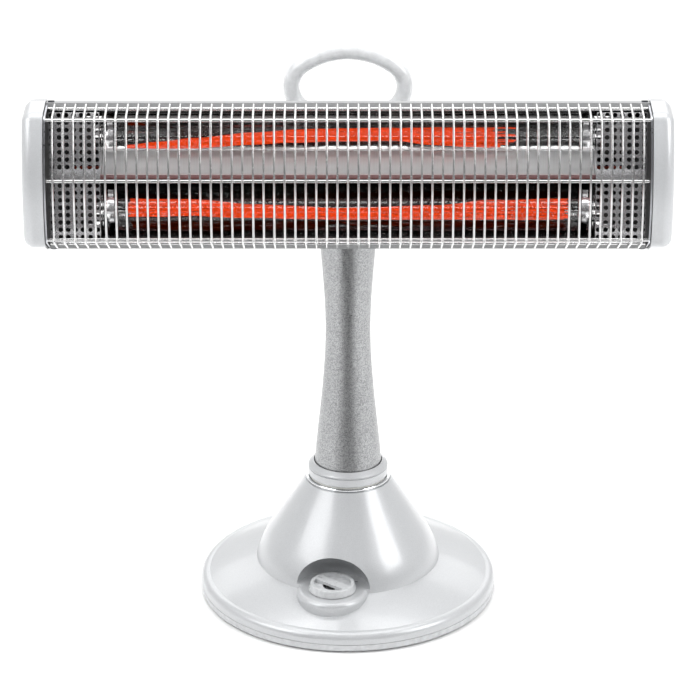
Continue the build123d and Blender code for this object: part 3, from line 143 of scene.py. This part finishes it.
# ---- material building ------------------------------------------------------------------------
class Finish:
    """A Principled material under construction, with short calls for its nodes."""

    def __init__(self, name, colour, metallic=0.0, roughness=0.5, **more):
        self.material = bpy.data.materials.new(name)
        self.material.use_nodes = True
        self.nodes = self.material.node_tree.nodes
        self.links = self.material.node_tree.links
        self.shader = self.nodes["Principled BSDF"]
        self.place = self.nodes.new("ShaderNodeTexCoord").outputs["Object"]
        self.colour = colour
        self.shader.inputs["Base Color"].default_value = (*colour, 1)
        self.shader.inputs["Metallic"].default_value = metallic
        self.shader.inputs["Roughness"].default_value = roughness
        for socket, value in more.items():
            self.shader.inputs[socket.replace("_", " ")].default_value = value
        self.height = None

    def stretched(self, scale):
        """Object coordinates scaled along each axis."""
        mapping = self.nodes.new("ShaderNodeMapping")
        mapping.inputs["Scale"].default_value = scale
        self.links.new(self.place, mapping.inputs["Vector"])
        return mapping.outputs["Vector"]

    def noise(self, scale, detail=3.0, rough=0.55, along=(1, 1, 1)):
        """A noise value; scale is cells per metre."""
        node = self.nodes.new("ShaderNodeTexNoise")
        node.inputs["Scale"].default_value = scale
        node.inputs["Detail"].default_value = detail
        node.inputs["Roughness"].default_value = rough
        self.links.new(self.stretched(along), node.inputs["Vector"])
        return node.outputs["Fac"]

    def cells(self, scale):
        """Flake-like cells with a random value each."""
        node = self.nodes.new("ShaderNodeTexVoronoi")
        node.inputs["Scale"].default_value = scale
        self.links.new(self.place, node.inputs["Vector"])
        split = self.nodes.new("ShaderNodeSeparateColor")
        self.links.new(node.outputs["Color"], split.inputs["Color"])
        return split.outputs["Red"]

    def spread(self, value, low, high, start=0.3, stop=0.7):
        """Maps a value to a range."""
        node = self.nodes.new("ShaderNodeMapRange")
        node.inputs["From Min"].default_value = start
        node.inputs["From Max"].default_value = stop
        node.inputs["To Min"].default_value = low
        node.inputs["To Max"].default_value = high
        self.links.new(value, node.inputs["Value"])
        return node.outputs["Result"]

    def rough(self, value, low, high):
        """Varies the roughness."""
        self.links.new(self.spread(value, low, high), self.shader.inputs["Roughness"])
        return self

    def tint(self, value, dark, light, start=0.3, stop=0.7):
        """Varies the colour between two shades of it."""
        ramp = self.nodes.new("ShaderNodeValToRGB")
        ends = ramp.color_ramp.elements
        ends[0].position, ends[1].position = start, stop
        ends[0].color = (*[min(c * dark, 1) for c in self.colour], 1)
        ends[1].color = (*[min(c * light, 1) for c in self.colour], 1)
        self.links.new(value, ramp.inputs["Fac"])
        self.links.new(ramp.outputs["Color"], self.shader.inputs["Base Color"])
        return self

    def bands(self, stops):
        """Paints reflections into the colour in long bands, the lighter bands also less metallic;
        stops are (height, share, warm tint of a painted glow).
        """
        turned = self.nodes.new("ShaderNodeMapping")
        turned.inputs["Rotation"].default_value = (-TILT, 0, 0)
        self.links.new(self.place, turned.inputs["Vector"])
        split = self.nodes.new("ShaderNodeSeparateXYZ")
        self.links.new(turned.outputs["Vector"], split.inputs["Vector"])
        middle_line = (HEAD_TURN.inverted() @ FACE_MIDDLE).z
        low, high = middle_line + stops[0][0] * MM, middle_line + stops[-1][0] * MM
        along = self.spread(split.outputs["Z"], 0.0, 1.0, low, high)
        ramp = self.nodes.new("ShaderNodeValToRGB")
        marks = ramp.color_ramp.elements
        while len(marks) < len(stops):
            marks.new(0.5)
        span = stops[-1][0] - stops[0][0]
        for mark, (height, share, painted_glow_tint) in zip(marks, stops):
            mark.position = (height - stops[0][0]) / span
            red, green, blue = [c * share for c in self.colour]
            mark.color = (red, green * (1 - painted_glow_tint), blue * (1 - painted_glow_tint), 1)
        self.links.new(along, ramp.inputs["Fac"])
        self.links.new(ramp.outputs["Color"], self.shader.inputs["Base Color"])
        metal = self.spread(ramp.outputs["Color"], 1.0, 0.25, 0.3, 0.8)
        self.links.new(metal, self.shader.inputs["Metallic"])

    def bump(self, value, distance, strength=0.5):
        """Adds relief of this depth in metres."""
        node = self.nodes.new("ShaderNodeBump")
        node.inputs["Strength"].default_value = strength
        node.inputs["Distance"].default_value = distance
        self.links.new(value, node.inputs["Height"])
        if self.height is not None:
            self.links.new(self.height, node.inputs["Normal"])
        self.height = node.outputs["Normal"]
        self.links.new(self.height, self.shader.inputs["Normal"])
        return self


def pearl_silver(look):
    """Moulded silver plastic: fine flake under a clear gloss."""
    finish = Finish("pearl_silver", look.silver, 0.25, 0.33, Coat_Weight=0.55, Coat_Roughness=0.1)
    finish.tint(finish.cells(2600), 0.94, 1.05, 0.1, 0.9)
    finish.rough(finish.noise(26, 4), 0.28, 0.38)
    return finish.bump(finish.noise(900, 2), 0.00002, 0.25).bump(finish.noise(14, 2), 0.0006, 0.12)


def speckled_paint(look):
    """Hammered silver paint with light and dark flakes."""
    finish = Finish("speckled_paint", look.paint, 0.85, 0.36, Coat_Weight=0.2, Coat_Roughness=0.2)
    finish.tint(finish.cells(1.0 / look.speckle), 0.72, 1.34, 0.05, 0.95)
    finish.rough(finish.noise(420, 3), 0.27, 0.5)
    return finish.bump(finish.noise(700, 3), 0.00009, 0.55)


def housing_paint(look):
    """Satin grey paint on folded sheet."""
    finish = Finish("housing_paint", look.housing, 0.4, 0.42)
    finish.tint(finish.noise(700, 3), 0.92, 1.08)
    finish.rough(finish.noise(60, 4), 0.36, 0.5)
    return finish.bump(finish.noise(1100, 2), 0.00004, 0.5)


def mirror_sheet(look):
    """Polished aluminium with painted reflections and a painted warm glow line in long bands, with
    drawn lines and slow waves.
    """
    finish = Finish("mirror_sheet", (0.98, 0.98, 0.98), 1.0, 0.06)
    finish.rough(finish.noise(90, 3, 0.6, (0.12, 1, 1)), 0.03, 0.08)
    # painted reflections: dark and light bands and a warm painted glow line across the mirror
    finish.bands(PAINTED_REFLECTION_BANDS)
    lines = finish.noise(1400, 2, 0.5, (0.01, 1, 1))
    waves = finish.noise(22, 2, 0.5, (0.35, 1, 1))
    return finish.bump(lines, 0.00001, 0.3).bump(waves, 0.0016, 0.5)


def plated(name, colour, low, high, grain=500):
    """Bright plating with a little uneven gloss."""
    finish = Finish(name, colour, 1.0, (low + high) / 2)
    finish.rough(finish.noise(grain, 4), low, high)
    finish.tint(finish.noise(grain / 6, 3), 0.9, 1.04)
    return finish.bump(finish.noise(grain * 2, 2), 0.00001, 0.3)


def quartz_glass(look):
    """Clear quartz with faint drawing lines."""
    finish = Finish("quartz_glass", (0.97, 0.97, 0.97), 0.0, 0.02,
                    IOR=1.46, Transmission_Weight=1.0, Specular_IOR_Level=0.12)
    finish.rough(finish.noise(60, 3, 0.5, (0.2, 1, 1)), 0.0, 0.05)
    return finish.bump(finish.noise(500, 2, 0.5, (0.02, 1, 1)), 0.00002, 0.25)


def glowing_carbon(look, name="lit_carbon", share=1.0):
    """Woven carbon at working heat: brighter crossings, darker gaps."""
    finish = Finish(name, (0.02, 0.004, 0.002), 0.0, 0.8, Specular_IOR_Level=0.0)
    weave = finish.noise(520, 4, 0.75, (0.5, 1, 1))
    patch = finish.noise(70, 3, 0.6, (0.5, 1, 1))
    both = finish.nodes.new("ShaderNodeMath")
    both.operation = "MULTIPLY"
    finish.links.new(finish.spread(weave, 0.40, 1.12, 0.3, 0.7), both.inputs[0])
    finish.links.new(finish.spread(patch, 0.85, 1.0), both.inputs[1])
    strength = finish.nodes.new("ShaderNodeMath")
    strength.operation = "MULTIPLY"
    strength.inputs[1].default_value = look.glow_strength * share
    finish.links.new(both.outputs[0], strength.inputs[0])
    finish.links.new(strength.outputs[0], finish.shader.inputs["Emission Strength"])
    finish.shader.inputs["Emission Color"].default_value = (*look.glow, 1)
    return finish.bump(weave, 0.0001, 0.2)


def moulded(name, colour, low=0.4, high=0.6, grain=1800, depth=0.00004, coat=0.0):
    """Moulded plastic or rubber with a fine spark texture."""
    finish = Finish(name, colour, 0.0, (low + high) / 2, Coat_Weight=coat)
    finish.tint(finish.noise(grain / 9, 3), 0.9, 1.1)
    finish.rough(finish.noise(grain / 20, 3), low, high)
    return finish.bump(finish.noise(grain, 2), depth, 0.5)


def brushed(name, colour, low=0.25, high=0.45, along=(0.03, 1, 1)):
    """Sheet steel with rolling lines."""
    finish = Finish(name, colour, 1.0, (low + high) / 2)
    finish.rough(finish.noise(900, 3, 0.6, along), low, high)
    finish.tint(finish.noise(40, 4), 0.86, 1.05)
    return finish.bump(finish.noise(1500, 2, 0.5, along), 0.00001, 0.4)


def cast(name, colour):
    """Sand or die cast metal."""
    finish = Finish(name, colour, 0.9, 0.55)
    finish.tint(finish.noise(300, 4), 0.8, 1.1)
    finish.rough(finish.noise(150, 4), 0.45, 0.7)
    return finish.bump(finish.noise(800, 4), 0.0001, 0.5)


def fired_ceramic(look):
    """Dense dark ceramic, faintly speckled."""
    finish = Finish("dark_ceramic", (0.045, 0.043, 0.04), 0.0, 0.5)
    finish.tint(finish.noise(1500, 3), 0.9, 1.03)
    finish.rough(finish.noise(200, 3), 0.42, 0.6)
    return finish.bump(finish.noise(900, 3), 0.00004, 0.5)


def slot_finishes(look):
    """Every material slot of the record and the finish that it gets."""
    return {
        "silver_plastic": pearl_silver(look),
        "silver_paint": speckled_paint(look),
        "grey_paint": housing_paint(look),
        "mirror_aluminium": mirror_sheet(look),
        "quartz": quartz_glass(look),
        "glowing_carbon": glowing_carbon(look),
        "end_ceramic": fired_ceramic(look),
        "knob_plastic": moulded("knob_silver", (0.52, 0.53, 0.54), 0.26, 0.36, 2400, 0.00001, 0.4),
        "white_plastic": moulded("ring_gloss", (0.66, 0.67, 0.68), 0.16, 0.24, 1200, 0.00001, 0.6),
        "pan_plastic": moulded("pan_silver", (0.52, 0.53, 0.54), 0.3, 0.42, 1600, 0.00002, 0.3),
        "rubber": moulded("soft_rubber", (0.025, 0.025, 0.026), 0.7, 0.9, 1200, 0.00006),
        "black_plastic": moulded("black_nylon", (0.03, 0.03, 0.032), 0.45, 0.6),
        "terminal_plastic": moulded("terminal_nylon", (0.75, 0.72, 0.62), 0.45, 0.6),
        "bearing_plastic": moulded("acetal", (0.82, 0.82, 0.78), 0.3, 0.45),
        "wire_cover": moulded("silicone_lead", (0.42, 0.07, 0.04), 0.5, 0.7),
        "mark_print": moulded("pad_print", (0.05, 0.05, 0.055), 0.5, 0.65),
        "grille_chrome": plated("cage_chrome", (0.80, 0.80, 0.80), 0.14, 0.30, 700),
        "vent_chrome": plated("panel_chrome", (0.90, 0.90, 0.91), 0.20, 0.24, 60),
        "bright_trim": plated("trim_bright", (0.82, 0.83, 0.84), 0.08, 0.18),
        "zinc_steel": plated("zinc_plate", (0.62, 0.63, 0.66), 0.25, 0.42, 300),
        "dark_steel": plated("black_oxide", (0.10, 0.10, 0.11), 0.35, 0.5, 300),
        "cutout_metal": plated("cutout_tin", (0.66, 0.64, 0.60), 0.25, 0.4, 300),
        "motor_metal": brushed("motor_can", (0.66, 0.65, 0.62)),
        "shield_aluminium": brushed("shield_sheet", (0.74, 0.75, 0.76)),
        "cast_metal": cast("die_cast_hub", (0.55, 0.56, 0.57)),
        "ballast_iron": cast("ballast_iron", (0.16, 0.16, 0.17)),
    }


# ---- mesh helpers ------------------------------------------------------------------------------
def deselect():
    """Nothing selected, object mode."""
    if bpy.context.object and bpy.context.object.mode != "OBJECT":
        bpy.ops.object.mode_set(mode="OBJECT")
    bpy.ops.object.select_all(action="DESELECT")


def only(piece):
    """Makes one object the selected, active one."""
    deselect()
    piece.select_set(True)
    bpy.context.view_layer.objects.active = piece


def settle(piece, turn=None):
    """Puts the object's place in its mesh, after an optional turn, and leaves it at the origin."""
    only(piece)
    if turn is not None:
        piece.matrix_world = turn @ piece.matrix_world
    bpy.ops.object.transform_apply(location=True, rotation=True, scale=True)


def add_modifier(piece, kind, **values):
    """Adds a modifier and applies it."""
    only(piece)
    modifier = piece.modifiers.new(kind.title(), kind)
    for name, value in values.items():
        setattr(modifier, name, value)
    bpy.ops.object.modifier_apply(modifier=modifier.name)


def outward(piece):
    """Merges doubles and turns every face outwards."""
    only(piece)
    bpy.ops.object.mode_set(mode="EDIT")
    bpy.ops.mesh.select_all(action="SELECT")
    bpy.ops.mesh.remove_doubles(threshold=1e-6)
    bpy.ops.mesh.normals_make_consistent(inside=False)
    bpy.ops.object.mode_set(mode="OBJECT")


def joined(pieces, name):
    """One object from several."""
    deselect()
    for piece in pieces:
        piece.select_set(True)
    bpy.context.view_layer.objects.active = pieces[0]
    if len(pieces) > 1:
        bpy.ops.object.join()
    whole = bpy.context.object
    whole.name = name
    whole.data.name = name
    return whole


def dressed(piece, body, material):
    """Gives a new piece its finish, slot and body."""
    piece.data.materials.clear()
    piece.data.materials.append(material)
    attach(piece, body)


def smooth(piece, degrees=35):
    """Smooth shading with sharp edges kept."""
    only(piece)
    bpy.ops.object.shade_smooth_by_angle(angle=math.radians(degrees))


# ---- operators ----------------------------------------------------------------------------------
class HEATER_OT_finish_nodes(bpy.types.Operator):
    """Give every piece of the frame its finish"""
    bl_idname = "heater.finish_nodes"
    bl_label = "Finish Frame Pieces"

    def execute(self, context):
        look = context.scene.heater_finish
        finishes = slot_finishes(look)
        # painted shade: a dimmed copy of the glow for the ribbon faces towards the mirror
        glowing_carbon(look, "shaded_carbon", MIRROR_SIDE_GLOW)
        for part in frame["record"]["subparts"]:
            material = finishes[part["material_slot"]].material
            data = frame["nodes"][part["node"]].data
            data.materials.clear()
            data.materials.append(material)
        # painted shade: the inside of the head, the tube brackets and the heat shield are made
        # near black
        chamber_painted_shade = moulded("chamber_painted_shade", (0.012, 0.012, 0.012), 0.6, 0.8).material
        paint_shade_inside(frame["nodes"]["head_back_shell"].data, chamber_painted_shade)
        paint_shade_inside(frame["nodes"]["side_plates"].data, chamber_painted_shade)
        for node in ("tube_brackets", "heat_shield"):
            frame["nodes"][node].data.materials[0] = chamber_painted_shade
        return {"FINISHED"}


def paint_shade_inside(data, coat):
    """Paints shade on the faces that look into the heating chamber: they get a dull black material
    in place of their own finish.
    """
    data.materials.append(coat)
    for face in data.polygons:
        if face.normal.dot(FACE_MIDDLE - face.center) > 0:
            face.material_index = 1


def between(points, share):
    """Smooth value at a share along a list of (share, value) points."""
    for (s0, v0), (s1, v1) in zip(points, points[1:]):
        if share <= s1:
            t = (share - s0) / (s1 - s0)
            t = t * t * (3 - 2 * t)
            return v0 + (v1 - v0) * t
    return points[-1][1]


# Each ribbon's centre line and half height, in mm from the tube's axis, by share of its length.
# "ragged" is how uneven its two ends are, and "stop" the share at which it ends.
RIBBONS = {
    "upper": {
        "box": UPPER_TUBE, "seed": 5, "ragged": (0.0, 0.06), "stop": 0.88,
        "centre": [(0, -7.6), (0.08, -6.2), (0.15, -4.6), (0.29, -0.4), (0.38, 1.8), (0.49, 2.8),
                   (0.6, 3.2), (0.69, 1.6), (0.76, 0.6), (1, 0.2)],
        "half": [(0, 0.6), (0.08, 2.6), (0.15, 4.0), (0.29, 4.2), (0.38, 5.0), (0.6, 5.3),
                 (0.69, 7.2), (0.76, 8.2), (1, 8.9)],
    },
    "lower": {
        "box": LOWER_TUBE, "seed": 8, "ragged": (0.01, 0.015), "stop": 1.0,
        "centre": [(0, 1.2), (0.15, 1.4), (0.29, -1.7), (0.49, -4.0), (0.69, -3.0),
                   (0.83, -0.6), (1, 0.0)],
        "half": [(0, 7.8), (0.15, 6.8), (0.29, 5.0), (0.49, 4.6), (0.69, 5.9),
                 (0.83, 8.4), (1, 9.1)],
    },
}


def tow(shape, settings, number, rng):
    """One fibre bundle of a ribbon, as a strip that follows the twist."""
    box = shape["box"]
    centre = middle(box)
    left_end, right_end = shape["ragged"]
    start = rng.uniform(0, left_end)
    stop = shape["stop"] - rng.uniform(0, 1) ** 1.5 * right_end
    bpy.ops.mesh.primitive_grid_add(x_subdivisions=settings.stations, y_subdivisions=1, size=1)
    strip = bpy.context.object
    low = number / settings.tows + TOW_GAP
    high = (number + 1) / settings.tows - TOW_GAP
    drift = rng.uniform(0, 6.3)
    for vertex in strip.data.vertices:
        share = start + (vertex.co.x + 0.5) * (stop - start)
        across = low if vertex.co.y < 0 else high
        wander = 0.010 * math.sin(share * 46 + drift) + 0.006 * math.sin(share * 117 + 2 * drift)
        position = 2 * (across + wander) - 1
        half = between(shape["half"], share) * MM
        offset = between(shape["centre"], share) * MM
        room = settings.bore ** 2 - (abs(offset) + half) ** 2
        depth = math.sqrt(max(room, 0.0)) * TOW_ROOM
        x = -settings.half_length + 2 * settings.half_length * share
        y = position * depth + 0.0003 * math.sin(share * 61 + number)
        z = offset + position * half
        vertex.co = (x, y, z)
    settle(strip)
    add_modifier(strip, "SOLIDIFY", thickness=settings.thickness, offset=0)
    turn = Matrix.Translation(Vector((0, centre.y, centre.z))) @ HEAD_TURN
    settle(strip, turn)
    return strip


class HEATER_OT_carbon_ribbons(bpy.types.Operator):
    """Model the glowing carbon ribbons, bundle by bundle"""
    bl_idname = "heater.carbon_ribbons"
    bl_label = "Carbon Ribbons"

    def execute(self, context):
        settings = context.scene.heater_carbon
        material = bpy.data.materials["lit_carbon"]
        for name, shape in RIBBONS.items():
            rng = random.Random(shape["seed"])
            tows = [tow(shape, settings, number, rng) for number in range(settings.tows)]
            ribbon = joined(tows, f"{name}_ribbon_tows")
            outward(ribbon)
            dressed(ribbon, "head", material)
            # painted shade: faces towards the mirror get the dimmed copy of the glow
            ribbon.data.materials.append(bpy.data.materials["shaded_carbon"])
            towards_mirror = HEAD_TURN.to_3x3() @ Vector((0, 1, 0))
            for face in ribbon.data.polygons:
                if face.normal.dot(towards_mirror) > FACES_MIRROR:
                    face.material_index = 1
            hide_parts(f"{name}_carbon_ribbon")
        return {"FINISHED"}


def tube_ring(name, box, x):
    """A rolled metal collar round a tube, with an outward lug above it."""
    centre = middle(box)
    bpy.ops.mesh.primitive_cylinder_add(
        vertices=48, radius=COLLAR_RADIUS, depth=COLLAR_WIDTH, end_fill_type="NOTHING",
        rotation=(0, math.pi / 2, 0))
    collar = bpy.context.object
    bpy.ops.object.transform_apply(rotation=True)
    bpy.ops.object.mode_set(mode="EDIT")
    bpy.ops.mesh.select_all(action="SELECT")
    bpy.ops.mesh.subdivide(number_cuts=2)
    bpy.ops.object.mode_set(mode="OBJECT")
    for vertex in collar.data.vertices:
        bulge = 1 + COLLAR_BULGE * math.cos(vertex.co.x / COLLAR_WIDTH * math.pi)
        vertex.co.y *= bulge
        vertex.co.z *= bulge
    outward(collar)
    add_modifier(collar, "SOLIDIFY", thickness=COLLAR_SHEET, offset=1)
    lug_place = (0, -COLLAR_RADIUS * 0.2, COLLAR_RADIUS + LUG_HEIGHT / 2)
    bpy.ops.mesh.primitive_cube_add(size=1, location=lug_place)
    lug = bpy.context.object
    lug.scale = (COLLAR_WIDTH * 0.8, LUG_THICKNESS, LUG_HEIGHT)
    settle(lug)
    add_modifier(lug, "BEVEL", width=0.0004, segments=2)
    piece = joined([collar, lug], name)
    smooth(piece)
    turn = Matrix.Translation(Vector((x, centre.y, centre.z))) @ HEAD_TURN
    settle(piece, turn)
    return piece


class HEATER_OT_tube_collars(bpy.types.Operator):
    """Model the bright collars near the ends of both tubes"""
    bl_idname = "heater.tube_collars"
    bl_label = "Tube Collars"

    def execute(self, context):
        material = bpy.data.materials["panel_chrome"]
        for name, box in (("upper", UPPER_TUBE), ("lower", LOWER_TUBE)):
            for side, word in ((-1, "left"), (1, "right")):
                piece = tube_ring(f"{name}_{word}_tube_collar", box, side * COLLAR_AT)
                dressed(piece, "head", material)
        return {"FINISHED"}


LAMPS = (                   # name, place, target, size in metres, power in watts
    ("key_left", (-1.8, -1.0, 1.9), (0, 0, 0.25), (1.8, 1.6), 30),
    ("fill_right", (1.9, -0.9, 1.6), (0, 0, 0.25), (1.2, 1.6), 27),
    ("face_fill", (0, -2.2, 2.0), (0, -0.1, 0.43), (1.4, 0.5), 16),
    ("far_floor", (0, 5.5, 3.2), (0, 5.5, 0), (6.0, 4.0), 100),
    ("overhead", (0, 0.3, 2.6), (0, 0, 0.2), (2.4, 1.6), 40),
)


def area_light(name, place, target, size, power):
    """A soft rectangular lamp aimed at a point."""
    data = bpy.data.lights.new(name, "AREA")
    data.shape = "RECTANGLE"
    data.size, data.size_y = size
    data.energy = power
    lamp = bpy.data.objects.new(name, data)
    bpy.context.scene.collection.objects.link(lamp)
    lamp.location = place
    lamp.rotation_euler = (Vector(target) - Vector(place)).to_track_quat("-Z", "Y").to_euler()


class HEATER_OT_stage(bpy.types.Operator):
    """Add floor, lights and camera"""
    bl_idname = "heater.stage"
    bl_label = "Stage"

    def execute(self, context):
        stage = context.scene.heater_stage
        deselect()
        bpy.ops.mesh.primitive_plane_add(size=FLOOR_SIZE, location=(0, 0, -FLOOR_DROP))
        floor = bpy.context.object
        floor.name = "studio_floor"
        paper = Finish("studio_paper", stage.floor, 0.0, 0.75)
        paper.tint(paper.noise(3, 2), 0.995, 1.0)
        floor.data.materials.append(paper.material)

        bpy.ops.mesh.primitive_plane_add(size=1, location=CARD_PLACE)
        card = bpy.context.object
        card.name = "dark_card"
        card.scale = CARD_SIZE
        card.data.materials.append(Finish("card_felt", (0.012, 0.012, 0.012), 0.0, 0.9).material)
        card.visible_camera = False
        card.visible_diffuse = False
        card.visible_shadow = False

        world = bpy.data.worlds.new("studio_air")
        context.scene.world = world
        world.use_nodes = True
        nodes, links = world.node_tree.nodes, world.node_tree.links
        air = nodes["Background"]
        place = nodes.new("ShaderNodeTexCoord")
        split = nodes.new("ShaderNodeSeparateXYZ")
        ramp = nodes.new("ShaderNodeValToRGB")
        links.new(place.outputs["Generated"], split.inputs["Vector"])
        shift = nodes.new("ShaderNodeMapRange")
        shift.inputs["From Min"].default_value = -1.0
        shift.inputs["From Max"].default_value = 1.0
        links.new(split.outputs["Y"], shift.inputs["Value"])
        links.new(shift.outputs["Result"], ramp.inputs["Fac"])
        ramp.color_ramp.elements[0].position = 0.08
        ramp.color_ramp.elements[0].color = (0.16, 0.16, 0.165, 1)
        ramp.color_ramp.elements[1].position = 0.56
        ramp.color_ramp.elements[1].color = (1, 1, 1, 1)
        links.new(ramp.outputs["Color"], air.inputs["Color"])
        air.inputs["Strength"].default_value = AIR_STRENGTH

        for name, place, target, size, power in LAMPS:
            area_light(name, place, target, size, power)
        bpy.data.objects["face_fill"].visible_glossy = False

        eye = bpy.data.cameras.new("front_eye")
        eye.lens = stage.lens
        eye.sensor_width = 36.0
        eye.clip_start = 0.05
        camera = bpy.data.objects.new("front_eye", eye)
        context.scene.collection.objects.link(camera)
        camera.location = stage.eye
        camera.rotation_euler = (math.pi / 2 - stage.pitch, 0, 0)
        context.scene.camera = camera
        context.scene.view_settings.view_transform = "Standard"
        return {"FINISHED"}


class HEATER_PT_panel(bpy.types.Panel):
    """Lists the steps and their settings"""
    bl_label = "Tabletop Heater"
    bl_idname = "HEATER_PT_panel"
    bl_space_type = "VIEW_3D"
    bl_region_type = "UI"
    bl_category = "Heater"

    def draw(self, context):
        layout = self.layout
        for step in STEPS:
            layout.operator(step.bl_idname)
        for group in ("heater_finish", "heater_carbon", "heater_stage"):
            settings = getattr(context.scene, group)
            box = layout.box()
            for name in settings.__annotations__:
                box.prop(settings, name)


STEPS = (
    HEATER_OT_stage,
    HEATER_OT_finish_nodes,
    HEATER_OT_carbon_ribbons,
    HEATER_OT_tube_collars,
)
GROUPS = {
    "heater_finish": HeaterFinish,
    "heater_carbon": HeaterCarbon,
    "heater_stage": HeaterStage,
}


def register():
    for kind in (*GROUPS.values(), *STEPS, HEATER_PT_panel):
        bpy.utils.register_class(kind)
    for name, kind in GROUPS.items():
        setattr(bpy.types.Scene, name, PointerProperty(type=kind))


def unregister():
    for name in GROUPS:
        delattr(bpy.types.Scene, name)
    for kind in reversed((*GROUPS.values(), *STEPS, HEATER_PT_panel)):
        bpy.utils.unregister_class(kind)


def main():
    """Runs every step in order."""
    register()
    bpy.ops.heater.stage()
    bpy.ops.heater.finish_nodes()
    bpy.ops.heater.carbon_ribbons()
    bpy.ops.heater.tube_collars()


if __name__ == "__main__":
    main()
